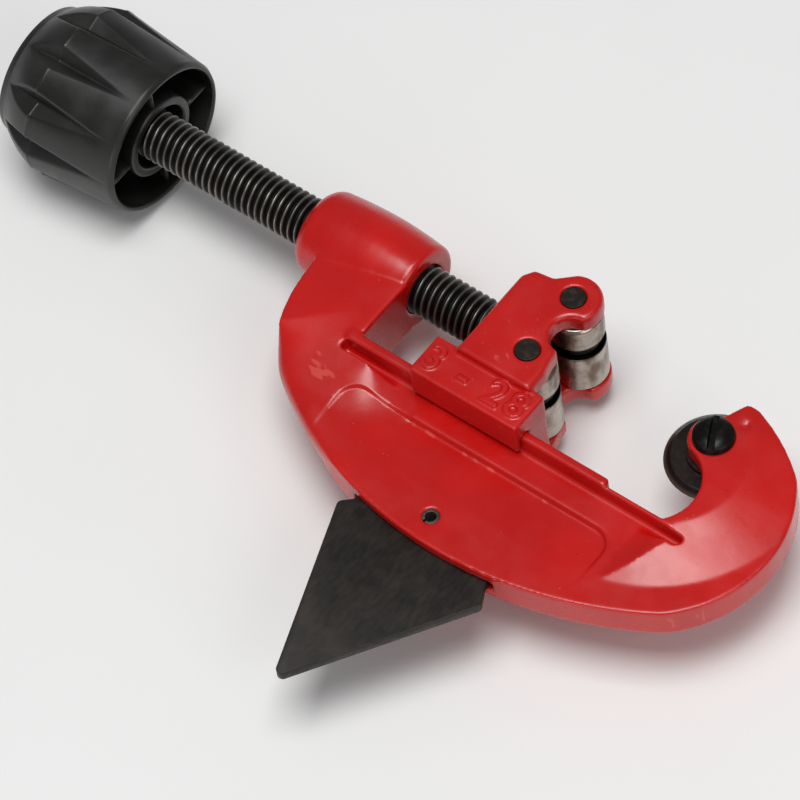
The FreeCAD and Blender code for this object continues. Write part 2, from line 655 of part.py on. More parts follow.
def thread_groove(x_low, x_high):
    """Right-hand helical V groove: a triangle swept along a helix round the X axis."""
    pitch = S["thread_pitch"]
    crest = S["crest_radius"]
    root = crest - S["thread_depth"]
    proud = 0.15
    top_half = 0.44 * pitch + 0.1
    root_half = 0.065 * pitch
    helix = Part.makeLongHelix(pitch, x_high - x_low + 2 * pitch, crest, 0)
    corners = [
        V(root, 0, -root_half), V(crest + proud, 0, -top_half),
        V(crest + proud, 0, top_half), V(root, 0, root_half),
    ]
    triangle = Part.makePolygon(corners + corners[:1])
    groove = Part.Wire(helix.Edges).makePipeShell([triangle], True, True)
    groove.rotate(V(0, 0, 0), V(0, 1, 0), 90)
    groove.translate(V(x_low - pitch, 0, 0))
    return groove


def make_feed_screw():
    """Threaded rod with a grooved plain nose and a tapped shank inside the knob."""
    shank_start, shank_end = shank_places()
    crest = S["crest_radius"]
    nose = S["nose_pin_radius"]
    thread_end = SOCKET_LEFT - 0.6
    chamfer = crest - nose
    profile = [
        (shank_end, 0), (shank_end, S["shank_radius"]), (shank_start, S["shank_radius"]),
        (shank_start, crest), (thread_end - chamfer, crest), (thread_end, nose),
        (GROOVE_X - GROOVE_HALF, nose), (GROOVE_X - GROOVE_HALF, S["groove_radius"]),
        (GROOVE_X + GROOVE_HALF, S["groove_radius"]), (GROOVE_X + GROOVE_HALF, nose),
        (NOSE_END, nose), (NOSE_END, 0),
    ]
    corners = [V(a, b, 0) for a, b in profile]
    rod = Part.Face(Part.makePolygon(corners + corners[:1])).revolve(V(0, 0, 0), AXIS_X, 360)
    tap = bar_x(S["knob_screw_radius"], shank_end - 1, shank_end + TAP_DEPTH)
    groove = thread_groove(shank_start, thread_end)
    return part_feature("feed_screw", rod.cut([groove, tap]))


def knob_shell():
    """Outside of the knob: widest at the parting ridge, domed closed end."""
    rim = S["knob_rim_x"]
    ridge = rim - S["knob_ridge_back"]
    wide = S["knob_ridge_radius"]
    rim_radius = S["knob_rim_radius"]
    end_radius = S["knob_end_radius"]
    edges = [
        line((rim, 0), (rim, rim_radius - 0.5)),
        arc((rim, rim_radius - 0.5), (rim - 0.15, rim_radius - 0.15), (rim - 0.5, rim_radius)),
        line((rim - 0.5, rim_radius), (ridge, wide)),
        arc((ridge, wide), (ridge - 4.6, (wide + end_radius) / 2 + 0.1), (KNOB_END + 0.9, end_radius)),
        line((KNOB_END + 0.9, end_radius), (KNOB_END, end_radius - 1.0)),
        line((KNOB_END, end_radius - 1.0), (KNOB_END, 0)),
        line((KNOB_END, 0), (rim, 0)),
    ]
    return Part.Face(Part.Wire(edges)).revolve(V(0, 0, 0), AXIS_X, 360)


def flute_cutter():
    """Kite-shaped wedge: pointed near the rim and near the closed end, widest at the ridge."""
    rim = S["knob_rim_x"]
    ridge = rim - S["knob_ridge_back"]
    wide = S["knob_ridge_radius"]
    half_angle = math.pi / S["knob_flutes"] * 0.86
    outer = wide + 1.2
    spread = outer * math.tan(half_angle)
    left = V(ridge, -spread, outer)
    right = V(ridge, spread, outer)
    bottom = V(ridge, 0, wide - S["flute_depth"])
    front = V(rim - 2.6, 0, S["knob_rim_radius"] + 0.25)
    back = V(KNOB_END + 1.3, 0, S["knob_end_radius"] + 0.7)
    faces = []
    for tip in (front, back):
        for a, b in ((left, bottom), (bottom, right), (right, left)):
            faces.append(Part.Face(Part.makePolygon([tip, a, b, tip])))
    return Part.Solid(Part.Shell(faces))


def make_knob():
    rim = S["knob_rim_x"]
    shank_start, shank_end = shank_places()
    count = int(S["knob_flutes"])
    cutters = []
    for index in range(count):
        cutter = flute_cutter()
        cutter.rotate(V(0, 0, 0), AXIS_X, 8.5 + 360.0 * index / count)
        cutters.append(cutter)
    floor = shank_end + 1.6
    cavity_radius = S["knob_rim_radius"] - S["knob_wall"]
    cavity = Part.makeCone(cavity_radius - 0.9, cavity_radius, rim - floor, V(floor, 0, 0), AXIS_X)
    hub = bar_x(S["hub_radius"], floor, rim - 0.6)
    reach = cavity_radius
    rib_end = rim - 1.6
    rib_z = box((floor, -S["rib_half"], -reach), (rib_end, S["rib_half"], reach))
    rib_y = box((floor, -reach, -S["rib_half"]), (rib_end, reach, S["rib_half"]))
    hollow = cavity.cut([hub, rib_z, rib_y])
    shell = knob_shell().cut(cutters)
    shell = shell.cut(hollow)
    cuts = [
        bar_x(S["hub_bore"], shank_start, rim + 1),
        bar_x(S["shank_radius"], shank_end - 1, shank_start),
        bar_x(S["cap_radius"], KNOB_END - 1, shank_end),
    ]
    return part_feature("knob", shell.cut(cuts))


def make_knob_fixing():
    """Washer on the shank's end, screw through it, plug cap over both."""
    shank_start, shank_end = shank_places()
    thick = S["washer_thickness"]
    radius = S["knob_screw_radius"]
    washer = bar_x(S["washer_radius"], shank_end - thick, shank_end).cut(bar_x(radius, -BIG, BIG))
    head = bar_x(S["knob_screw_head"], shank_end - thick - 2.2, shank_end - thick)
    shank = bar_x(radius, shank_end - thick, shank_end + TAP_DEPTH - 1)
    recess = box((shank_end - thick - 2.2, -0.45, -2.3), (shank_end - thick - 1.0, 0.45, 2.3))
    cross = box((shank_end - thick - 2.2, -2.3, -0.45), (shank_end - thick - 1.0, 2.3, 0.45))
    cap = bar_x(S["cap_radius"], KNOB_END, KNOB_END + S["cap_thickness"])
    part_feature("knob_washer", washer)
    part_feature("knob_screw", head.fuse(shank).cut([recess, cross]))
    part_feature("knob_cap", cap)


NODES = [
    "frame", "cutting_wheel", "wheel_screw", "reamer_blade", "reamer_pin", "carriage",
    "roller_upper", "roller_lower", "roller_pin_upper", "roller_pin_lower",
    "feed_screw", "retaining_pin_upper", "retaining_pin_lower",
    "knob", "knob_washer", "knob_screw", "knob_cap",
]

make_frame()
make_cutting_wheel()
make_wheel_screw()
make_reamer_blade()
make_reamer_pin()
make_carriage()
make_roller("roller_upper", 1)
make_roller("roller_lower", -1)
make_roller_pin("roller_pin_upper", 1)
make_roller_pin("roller_pin_lower", -1)
make_feed_screw()
make_retaining_pin("retaining_pin_upper", 1)
make_retaining_pin("retaining_pin_lower", -1)
make_knob()
make_knob_fixing()
doc.recompute()

for item in doc.Objects:
    if "Invalid" in item.State or "Error" in item.State:
        raise RuntimeError(f"{item.Label} failed: {item.State}")

os.makedirs("parts", exist_ok=True)
for name in NODES:
    item = doc.getObjectsByLabel(name)[0]
    if item.Shape.isNull() or not item.Shape.isValid():
        raise RuntimeError(f"{name} has no valid shape")
    item.Shape.exportStep(f"parts/{name}.step")
    bounds = item.Shape.BoundBox
    print(f"{name}: {len(item.Shape.Solids)} solid, {item.Shape.Volume:.1f} mm3,"
          f" x {bounds.XMin:.2f} to {bounds.XMax:.2f}")
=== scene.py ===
# %% [markdown]
# # A tube cutter, piece by piece
# This notebook dresses a tube cutter: a red casting shaped like a C, a small red
# carriage that slides on its rail, a black screw with a black knob, two steel
# rollers, a cutting wheel and a fixed blade that cleans the cut.
# The measured model is loaded first, because every piece must sit exactly on it.
# All places below are read from that model or from its own dimensions.

# %% Load the measured model
import math

import bmesh
import bpy
import numpy as np
from mathutils import Matrix, Vector


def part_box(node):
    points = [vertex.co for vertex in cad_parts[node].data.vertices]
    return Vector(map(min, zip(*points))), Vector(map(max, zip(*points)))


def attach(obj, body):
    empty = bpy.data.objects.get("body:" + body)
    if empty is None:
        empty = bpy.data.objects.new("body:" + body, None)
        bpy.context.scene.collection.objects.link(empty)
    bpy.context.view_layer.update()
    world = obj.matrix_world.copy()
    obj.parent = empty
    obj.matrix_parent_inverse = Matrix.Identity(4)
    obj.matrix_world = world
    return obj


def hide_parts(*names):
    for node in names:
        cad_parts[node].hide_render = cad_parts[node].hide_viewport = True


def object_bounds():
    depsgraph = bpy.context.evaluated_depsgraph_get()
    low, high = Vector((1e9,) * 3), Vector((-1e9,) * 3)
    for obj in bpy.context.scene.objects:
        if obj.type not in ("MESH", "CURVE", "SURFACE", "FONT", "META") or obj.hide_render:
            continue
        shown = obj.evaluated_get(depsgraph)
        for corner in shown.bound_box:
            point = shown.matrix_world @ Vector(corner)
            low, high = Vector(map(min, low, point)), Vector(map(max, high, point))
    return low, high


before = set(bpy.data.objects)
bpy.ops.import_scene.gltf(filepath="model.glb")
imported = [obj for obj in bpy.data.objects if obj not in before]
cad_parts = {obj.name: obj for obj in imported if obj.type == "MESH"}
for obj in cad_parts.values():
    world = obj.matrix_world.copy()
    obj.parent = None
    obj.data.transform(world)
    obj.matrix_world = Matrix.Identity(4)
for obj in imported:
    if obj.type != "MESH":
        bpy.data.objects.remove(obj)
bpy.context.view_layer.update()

print("nodes:", len(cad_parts))

# %% [markdown]
# ## Lengths and colours
# A tool like this is measured in millimetres, while Blender works in metres, so
# one factor turns the first into the second. Paint and plastic are usually
# matched as screen colours. Shaders add light in linear numbers, so one
# function turns a screen colour into those.

# %% Millimetres and screen colours
MM = 0.001


def paint(code):
    """Screen colour to linear: c / 12.92 below 0.04045, else ((c + 0.055) / 1.055) to the power 2.4."""
    shares = np.array([int(code[i:i + 2], 16) for i in (1, 3, 5)]) / 255.0
    low = shares / 12.92
    high = ((shares + 0.055) / 1.055) ** 2.4
    return (*np.where(shares <= 0.04045, low, high).tolist(), 1.0)


print("gloss red in linear numbers:", [round(c, 3) for c in paint("#b8140d")])

# %% [markdown]
# ## Building a finish from nodes
# A finish is a small graph: a place on the piece goes in, patterns come out, and
# the patterns steer colour, roughness and bump. It could be drawn by hand in the
# shader editor. Here one helper adds any node with its settings and links, and a
# second one starts a finish with a shader that already holds its constants.
#
# Four kinds of node come back in every finish. A Mapping node divides the place
# by a size in millimetres, so a Noise node of scale 1 makes blotches of that
# size. Map Range moves one range of numbers to another (slots 1 and 2 to slots
# 3 and 4), Mix goes from the colour in slot 6 to the one in slot 7, and Bump
# turns a pattern into height.

# %% Node helpers
def add(tree, kind, settings=None, links=None):
    """Adds one node. Settings name its properties and inputs, links join its inputs to other nodes' outputs."""
    node = tree.nodes.new("ShaderNode" + kind)
    for key, value in (settings or {}).items():
        if isinstance(key, int) or key in node.inputs:
            node.inputs[key].default_value = value
        else:
            setattr(node, key, value)
    for key, source in (links or {}).items():
        tree.links.new(source, node.inputs[key])
    return node


def start_finish(name, colour, constants):
    """A material with one shader, and the place on the piece in metres."""
    material = bpy.data.materials.new(name)
    material.use_nodes = True
    tree = material.node_tree
    tree.nodes.clear()
    shader = add(tree, "BsdfPrincipled", {"Base Color": paint(colour), **constants})
    add(tree, "OutputMaterial", links={"Surface": shader.outputs["BSDF"]})
    place = add(tree, "TexCoord").outputs["Object"]
    return material, tree, shader, place


SMOOTH = {"interpolation_type": "SMOOTHSTEP"}
COLOURS = {"data_type": "RGBA"}
EVEN = (1, 1, 1)
print("helpers ready")

# %% [markdown]
# ## Gloss enamel on the castings
# The frame and the carriage are zinc castings dipped or sprayed with red enamel
# and baked. Enamel flows before it sets, so the colour is even, the gloss is
# high and the surface waves a little, like the skin of an orange. The waves are
# about a millimetre long. Grit under the paint and dust on it show as tiny
# specks. Sharp edges are painted a touch paler as a painted highlight, and
# corners are painted darker as painted shade.

# %% Red enamel
def red_enamel():
    """Patterns by size in mm and detail: cloud shifts the red, grit and soot are specks, wipe is uneven gloss,
    and swell and peel are the waves that enamel sets in. The bend pattern is above 0.5 on edges and below it
    in corners; it paints a highlight on the edges and shade in the corners."""
    material, tree, shader, place = start_finish(
        "red_gloss_enamel", "#b8140d",
        {"Roughness": 0.3, "IOR": 1.5, "Coat Weight": 0.25, "Coat Roughness": 0.24, "Coat IOR": 1.5})
    pattern = {}
    for name, size_mm, detail in (("cloud", 14.0, 2.0), ("grit", 0.42, 1.0), ("soot", 0.6, 1.0),
                                  ("wipe", 5.0, 3.0), ("swell", 3.5, 1.0), ("peel", 0.9, 1.0)):
        spread = add(tree, "Mapping", {"Scale": Vector(EVEN) / (size_mm * MM)}, {"Vector": place})
        noise = add(tree, "TexNoise", {"Scale": 1.0, "Detail": detail}, {"Vector": spread.outputs[0]})
        pattern[name] = noise.outputs[0]
    pattern["painted_light_bend"] = add(tree, "NewGeometry").outputs["Pointiness"]
    share = add(tree, "MapRange", {**SMOOTH, 1: 0.35, 2: 0.7}, {0: pattern["cloud"]})
    tint = add(tree, "Mix", {**COLOURS, 6: paint("#bd0a06"), 7: paint("#cb0f09")}, {0: share.outputs[0]})
    # The first two rows paint light: a paler red on edges is a painted highlight, and a dark red in corners is
    # painted shade. Grit and soot are specks of dust.
    for name, low, high, at_low, at_high, colour in (
            ("painted_light_bend", 0.6, 0.74, 0.0, 0.5, "#dc5a4e"), ("painted_light_bend", 0.33, 0.44, 0.55, 0.0, "#6d0705"),
            ("grit", 0.78, 0.82, 0.0, 0.4, "#e58b7d"), ("soot", 0.19, 0.23, 0.5, 0.0, "#5a0a08")):
        share = add(tree, "MapRange", {**SMOOTH, 1: low, 2: high, 3: at_low, 4: at_high}, {0: pattern[name]})
        tint = add(tree, "Mix", {**COLOURS, 7: paint(colour)}, {0: share.outputs[0], 6: tint.outputs[2]})
    gloss = add(tree, "MapRange", {**SMOOTH, 1: 0.3, 2: 0.75, 3: 0.24, 4: 0.4}, {0: pattern["wipe"]})
    swell = add(tree, "Bump", {"Strength": 0.5, "Distance": 0.02 * MM}, {"Height": pattern["swell"]})
    peel = add(tree, "Bump", {"Strength": 0.5, "Distance": 0.012 * MM},
               {"Height": pattern["peel"], "Normal": swell.outputs[0]})
    tree.links.new(tint.outputs[2], shader.inputs["Base Color"])
    tree.links.new(gloss.outputs[0], shader.inputs["Roughness"])
    tree.links.new(peel.outputs[0], shader.inputs["Normal"])
    tree.links.new(peel.outputs[0], shader.inputs["Coat Normal"])
    return material


enamel = red_enamel()
print(enamel.name, len(enamel.node_tree.nodes), "nodes")

# %% [markdown]
# ## Black oxide on steel
# The feed screw, the pins and the wheel's screw are steel that was blackened in
# a hot salt bath. The layer is a thousandth of a millimetre thick, holds oil,
# and hides nothing: the metal still shines through it, darkly. Where two parts
# rub, the black goes first. The screw therefore gets a mask by its distance from
# its own axis: dark in the valleys of the thread, worn grey on the crests.

# %% Black oxide
def black_oxide(name, body, worn, rough, stain_mm):
    """Blackened steel: stains of stain_mm shift body to worn and change the gloss, over a 0.3 mm fine grain."""
    material, tree, shader, place = start_finish(name, body, {"Metallic": 0.75, "Roughness": rough})
    spread = add(tree, "Mapping", {"Scale": Vector(EVEN) / (stain_mm * MM)}, {"Vector": place})
    stain = add(tree, "TexNoise", {"Scale": 1.0, "Detail": 4.0}, {"Vector": spread.outputs[0]})
    share = add(tree, "MapRange", {**SMOOTH, 1: 0.45, 2: 0.8}, {0: stain.outputs[0]})
    tint = add(tree, "Mix", {**COLOURS, 6: paint(body), 7: paint(worn)}, {0: share.outputs[0]})
    gloss = add(tree, "MapRange", {**SMOOTH, 1: 0.2, 2: 0.8, 3: rough - 0.08, 4: rough + 0.14}, {0: stain.outputs[0]})
    spread = add(tree, "Mapping", {"Scale": Vector(EVEN) / (0.3 * MM)}, {"Vector": place})
    fine = add(tree, "TexNoise", {"Scale": 1.0, "Detail": 2.0}, {"Vector": spread.outputs[0]})
    relief = add(tree, "Bump", {"Strength": 0.4, "Distance": 0.01 * MM}, {"Height": fine.outputs[0]})
    tree.links.new(tint.outputs[2], shader.inputs["Base Color"])
    tree.links.new(gloss.outputs[0], shader.inputs["Roughness"])
    tree.links.new(relief.outputs[0], shader.inputs["Normal"])
    return material, tree, shader, place


pin_black = black_oxide("oxide_on_pins", "#2a2420", "#473a31", 0.5, 1.0)[0]
head_black = black_oxide("oxide_on_wheel_screw", "#1b1a19", "#34302d", 0.3, 1.5)[0]
spring_steel = black_oxide("oiled_spring_steel", "#57504a", "#7a7169", 0.4, 0.8)[0]
thread_black, tree, shader, place = black_oxide("oxide_on_feed_screw", "#131212", "#211f1e", 0.42, 2.0)

# %% Wear on the crests of the thread
flat = add(tree, "VectorMath", {"operation": "MULTIPLY", 1: (0, 1, 1)}, {0: place})
reach = add(tree, "VectorMath", {"operation": "LENGTH"}, {0: flat.outputs[0]})
rubbed = add(tree, "MapRange", {**SMOOTH, 1: 3.62 * MM, 2: 3.93 * MM}, {0: reach.outputs["Value"]})
spread = add(tree, "Mapping", {"Scale": Vector(EVEN) / (3.0 * MM)}, {"Vector": place})
patches = add(tree, "TexNoise", {"Scale": 1.0, "Detail": 3.0}, {"Vector": spread.outputs[0]})
patchy = add(tree, "MapRange", {**SMOOTH, 1: 0.3, 2: 0.6, 3: 0.45, 4: 1.0}, {0: patches.outputs[0]})
wear = add(tree, "Math", {"operation": "MULTIPLY"}, {0: rubbed.outputs[0], 1: patchy.outputs[0]})
tint = add(tree, "Mix", {**COLOURS, 6: paint("#161514"), 7: paint("#85807a")}, {0: wear.outputs[0]})
gloss = add(tree, "MapRange", {**SMOOTH, 1: 0.0, 2: 1.0, 3: 0.5, 4: 0.27}, {0: wear.outputs[0]})
tree.links.new(tint.outputs[2], shader.inputs["Base Color"])
tree.links.new(gloss.outputs[0], shader.inputs["Roughness"])
print("four dark finishes")

# %% [markdown]
# ## Ground steel, the wheel and the blade
# Rollers are hardened and ground between wheels, which leaves fine rings round
# them, far too fine to see one by one, so they are drawn 0.3 mm wide. Handling
# leaves brown-grey smudges. The groove that clears a flared tube end is coloured
# near black. The cutting wheel and the blade are hardened in oil, which colours
# them brown-black, and then their edges alone are ground bright.

# %% Steel finishes
def ground_steel(name, centre_mm):
    """Bright steel with rings and smudges. The groove is black: its mask is 1 where z lies between 0.2 and 3 mm
    and the distance from the roller's axis is under about 4.1 mm."""
    material, tree, shader, place = start_finish(name, "#a09a91", {"Metallic": 1.0, "Roughness": 0.3})
    spread = add(tree, "Mapping", {"Scale": Vector((0.05, 0.05, 1.0)) / (0.3 * MM)}, {"Vector": place})
    rings = add(tree, "TexNoise", {"Scale": 1.0, "Detail": 2.0}, {"Vector": spread.outputs[0]})
    spread = add(tree, "Mapping", {"Scale": Vector((1, 1, 0.6)) / (2.6 * MM)}, {"Vector": place})
    smudge = add(tree, "TexNoise", {"Scale": 1.0, "Detail": 4.0}, {"Vector": spread.outputs[0]})
    steel = add(tree, "Mix", {**COLOURS, 6: paint("#9a9288"), 7: paint("#c9c1b6")}, {0: rings.outputs[0]})
    share = add(tree, "MapRange", {**SMOOTH, 1: 0.42, 2: 0.68, 3: 0.0, 4: 0.85}, {0: smudge.outputs[0]})
    steel = add(tree, "Mix", {**COLOURS, 7: paint("#6e5a48")}, {0: share.outputs[0], 6: steel.outputs[2]})
    moved = add(tree, "VectorMath", {"operation": "SUBTRACT", 1: Vector(centre_mm) * MM}, {0: place})
    flat = add(tree, "VectorMath", {"operation": "MULTIPLY", 1: (1, 1, 0)}, {0: moved.outputs[0]})
    reach = add(tree, "VectorMath", {"operation": "LENGTH"}, {0: flat.outputs[0]})
    along = add(tree, "SeparateXYZ", links={0: place})
    groove = add(tree, "MapRange", {**SMOOTH, 1: 3.9 * MM, 2: 4.4 * MM, 3: 1.0, 4: 0.0}, {0: reach.outputs["Value"]})
    for low, high, at_low, at_high in ((0.1, 0.3, 0.0, 1.0), (2.9, 3.1, 1.0, 0.0)):
        side = add(tree, "MapRange", {**SMOOTH, 1: low * MM, 2: high * MM, 3: at_low, 4: at_high},
                   {0: along.outputs["Z"]})
        groove = add(tree, "Math", {"operation": "MULTIPLY"}, {0: groove.outputs[0], 1: side.outputs[0]})
    tint = add(tree, "Mix", {**COLOURS, 7: paint("#11100f")}, {0: groove.outputs[0], 6: steel.outputs[2]})
    gloss = add(tree, "MapRange", {**SMOOTH, 1: 0.3, 2: 0.75, 3: 0.22, 4: 0.42}, {0: smudge.outputs[0]})
    relief = add(tree, "Bump", {"Strength": 0.5, "Distance": 0.006 * MM}, {"Height": rings.outputs[0]})
    tree.links.new(tint.outputs[2], shader.inputs["Base Color"])
    tree.links.new(gloss.outputs[0], shader.inputs["Roughness"])
    tree.links.new(relief.outputs[0], shader.inputs["Normal"])
    return material


def hardened_steel(name, dark, brown, rough, streak):
    """Oil-hardened steel: 4.5 mm blotches go from dark to brown, and a 0.7 mm scale lies over them."""
    material, tree, shader, place = start_finish(name, dark, {"Metallic": 0.55, "Roughness": rough})
    spread = add(tree, "Mapping", {"Scale": Vector(EVEN) / (4.5 * MM)}, {"Vector": place})
    blotch = add(tree, "TexNoise", {"Scale": 1.0, "Detail": 5.0}, {"Vector": spread.outputs[0]})
    spread = add(tree, "Mapping", {"Scale": Vector(streak) / (0.7 * MM)}, {"Vector": place})
    scale = add(tree, "TexNoise", {"Scale": 1.0, "Detail": 3.0}, {"Vector": spread.outputs[0]})
    share = add(tree, "MapRange", {**SMOOTH, 1: 0.35, 2: 0.7}, {0: blotch.outputs[0]})
    tint = add(tree, "Mix", {**COLOURS, 6: paint(dark), 7: paint(brown)}, {0: share.outputs[0]})
    share = add(tree, "MapRange", {**SMOOTH, 1: 0.6, 2: 0.9, 3: 0.0, 4: 0.4}, {0: scale.outputs[0]})
    tint = add(tree, "Mix", {**COLOURS, 7: paint("#3f3934")}, {0: share.outputs[0], 6: tint.outputs[2]})
    gloss = add(tree, "MapRange", {**SMOOTH, 1: 0.3, 2: 0.8, 3: rough - 0.06, 4: rough + 0.16}, {0: scale.outputs[0]})
    relief = add(tree, "Bump", {"Strength": 0.4, "Distance": 0.012 * MM}, {"Height": scale.outputs[0]})
    tree.links.new(tint.outputs[2], shader.inputs["Base Color"])
    tree.links.new(gloss.outputs[0], shader.inputs["Roughness"])
    tree.links.new(relief.outputs[0], shader.inputs["Normal"])
    return material, tree, shader, place, tint.outputs[2]


blade_steel = hardened_steel("oil_hardened_blade_steel", "#262321", "#332e2a", 0.42, (1, 0.35, 1))[0]
wheel_steel, tree, shader, place, colour = hardened_steel(
    "oil_hardened_wheel_steel", "#1b1817", "#2c2420", 0.36, EVEN)
wheel_centre = [c / MM for c in (sum(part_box("cutting_wheel"), Vector()) / 2)]

# %% The wheel's ground edge
moved = add(tree, "VectorMath", {"operation": "SUBTRACT", 1: Vector(wheel_centre) * MM}, {0: place})
flat = add(tree, "VectorMath", {"operation": "MULTIPLY", 1: (1, 1, 0)}, {0: moved.outputs[0]})
reach = add(tree, "VectorMath", {"operation": "LENGTH"}, {0: flat.outputs[0]})
edge = add(tree, "MapRange", {**SMOOTH, 1: 6.9 * MM, 2: 7.5 * MM, 3: 0.0, 4: 0.8}, {0: reach.outputs["Value"]})
tint = add(tree, "Mix", {**COLOURS, 7: paint("#6f655d")}, {0: edge.outputs[0], 6: colour})
tree.links.new(tint.outputs[2], shader.inputs["Base Color"])
roller_steel = {
    name: ground_steel(name + "_ground_steel", [c / MM for c in sum(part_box(name), Vector()) / 2])
    for name in ("roller_upper", "roller_lower")}
print("wheel's axis at x", round(wheel_centre[0], 2), "mm")

# %% [markdown]
# ## The knob's plastic
# The knob is moulded in black ABS or polypropylene. The mould is lightly blasted,
# so the skin is satin and its grain is about a third of a millimetre. Dust and
# handling leave cloudy patches, a little greyer and less glossy than the rest.

# %% Moulded black plastic
def moulded_plastic(name, colour, rough):
    """Satin black: 6 mm clouds of dust shift colour and gloss, over the 0.35 mm grain of the blasted mould."""
    material, tree, shader, place = start_finish(name, colour, {"Roughness": rough, "IOR": 1.53})
    spread = add(tree, "Mapping", {"Scale": Vector(EVEN) / (6.0 * MM)}, {"Vector": place})
    dust = add(tree, "TexNoise", {"Scale": 1.0, "Detail": 5.0}, {"Vector": spread.outputs[0]})
    share = add(tree, "MapRange", {**SMOOTH, 1: 0.4, 2: 0.75}, {0: dust.outputs[0]})
    tint = add(tree, "Mix", {**COLOURS, 6: paint(colour), 7: paint("#242422")}, {0: share.outputs[0]})
    gloss = add(tree, "MapRange", {**SMOOTH, 1: 0.3, 2: 0.7, 3: rough - 0.06, 4: rough + 0.1}, {0: dust.outputs[0]})
    spread = add(tree, "Mapping", {"Scale": Vector(EVEN) / (0.35 * MM)}, {"Vector": place})
    fine = add(tree, "TexNoise", {"Scale": 1.0, "Detail": 2.0}, {"Vector": spread.outputs[0]})
    relief = add(tree, "Bump", {"Strength": 0.5, "Distance": 0.012 * MM}, {"Height": fine.outputs[0]})
    tree.links.new(tint.outputs[2], shader.inputs["Base Color"])
    tree.links.new(gloss.outputs[0], shader.inputs["Roughness"])
    tree.links.new(relief.outputs[0], shader.inputs["Normal"])
    return material


knob_plastic = moulded_plastic("moulded_black_plastic", "#191917", 0.36)
print(knob_plastic.name)

# %% [markdown]
# ## From arrays to a mesh
# A turned or moulded shape is a function of two numbers: how far along its
# profile a point lies, and how far round. Worked out for a whole grid at once,
# that gives a smooth closed skin with even faces. The same three helpers serve
# the rollers, pins, wheel, screws and knob.

# %% Grid helpers
def rounded(profile, radius, steps=4):
    """Closed profile with each corner turned into an arc.
    From each corner the arc starts and ends t along the two sides, where t is the radius or 0.42 of the
    shorter side. Between them it is the curve (1-s)^2 A + 2 s (1-s) P + s^2 B, and one more point beyond
    each end keeps flats flat."""
    corner = np.array(profile, float)
    to_last = np.roll(corner, 1, 0) - corner
    to_next = np.roll(corner, -1, 0) - corner
    last_length = np.linalg.norm(to_last, axis=1, keepdims=True)
    next_length = np.linalg.norm(to_next, axis=1, keepdims=True)
    reach = np.minimum(radius, 0.42 * np.minimum(last_length, next_length))
    start = corner + to_last / last_length * reach
    end = corner + to_next / next_length * reach
    s = np.linspace(0, 1, steps + 1)[None, :, None]
    arc = (1 - s) ** 2 * start[:, None] + 2 * s * (1 - s) * corner[:, None] + s ** 2 * end[:, None]
    before = (corner + to_last / last_length * reach * 1.18)[:, None]
    after = (corner + to_next / next_length * reach * 1.18)[:, None]
    return np.concatenate([before, arc, after], 1).reshape(-1, 2)


def skin(name, points, finish, closed=True):
    """Mesh from a grid of points in millimetres: rows along the profile, columns round the axis.
    Each face joins a point with its neighbours in the next row and column. Columns always wrap; rows wrap
    when closed."""
    rows, columns = points.shape[:2]
    index = np.arange(rows * columns).reshape(rows, columns)
    right = np.roll(index, -1, 1)
    below, corner = np.roll(index, -1, 0), np.roll(right, -1, 0)
    faces = np.stack([index, below, corner, right], -1)
    faces = faces[:rows if closed else rows - 1].reshape(-1, 4)
    mesh = bpy.data.meshes.new(name)
    mesh.from_pydata((points.reshape(-1, 3) * MM).tolist(), [], faces.tolist())
    knit = bmesh.new()
    knit.from_mesh(mesh)
    bmesh.ops.remove_doubles(knit, verts=knit.verts, dist=1e-7)
    bmesh.ops.dissolve_degenerate(knit, edges=knit.edges, dist=1e-8)
    bmesh.ops.recalc_face_normals(knit, faces=knit.faces)
    knit.to_mesh(mesh)
    knit.free()
    mesh.polygons.foreach_set("use_smooth", np.ones(len(mesh.polygons), bool))
    mesh.materials.append(finish)
    piece = bpy.data.objects.new(name, mesh)
    bpy.context.collection.objects.link(piece)
    return piece


def turned(name, profile, centre, axis, columns, finish):
    """Solid of revolution: each profile point (a, r) becomes a ring of radius r at a along the axis."""
    along, out = np.array(profile, float).T
    turn = np.linspace(0, 2 * math.pi, columns, endpoint=False)[None]
    side_a, side_b = out[:, None] * np.cos(turn), out[:, None] * np.sin(turn)
    length = np.broadcast_to(along[:, None], side_a.shape)
    grid = np.stack([length, side_a, side_b] if axis == "x" else [side_a, side_b, length], -1)
    return skin(name, grid + np.array(centre, float), finish)


def settle(piece, body, slot_name, *nodes):
    """The piece stands for its nodes and moves with its body. Its slot_name is not used."""
    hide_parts(*nodes)
    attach(piece, body)
    print(piece.name, len(piece.data.polygons), "faces")
    return piece


def node_box(name):
    """A node's lowest and highest corner in millimetres."""
    low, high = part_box(name)
    return np.array(low) / MM, np.array(high) / MM


print("frame spans", np.round(node_box("frame")[0], 1), "to", np.round(node_box("frame")[1], 1))

# %% [markdown]
# ## Rollers and their pins
# Each roller is a short steel tube with small chamfers and one groove. It could
# be a cylinder with bevels, but a profile turned on its axis puts the chamfers
# and the groove at their exact places and lets every corner be a real small arc
# that catches the light. The pins are plain rods, pressed in flush.

# %% Rollers and pins
for name in ("roller_upper", "roller_lower"):
    low, high = node_box(name)
    middle = (low + high) / 2
    half, wide = (high - low)[2] / 2, (high - low)[0] / 2
    profile = rounded([
        (-half, 1.95), (-half, wide - 0.4), (-half + 0.4, wide), (0.4, wide), (0.4, 3.55),
        (2.8, 3.55), (2.8, wide), (half - 0.4, wide), (half, wide - 0.4), (half, 1.95)], 0.12)
    roller = turned(name + "_turned", profile, middle, "z", 96, roller_steel[name])
    settle(roller, name, "ground_steel", name)

for name in ("roller_pin_upper", "roller_pin_lower"):
    low, high = node_box(name)
    half, wide = (high - low)[2] / 2, (high - low)[0] / 2
    profile = rounded([(-half, 0), (-half, wide), (half, wide), (half, 0)], 0.14)
    pin = turned(name + "_turned", profile, (low + high) / 2, "z", 64, pin_black)
    settle(pin, "carriage", "black_steel", name)

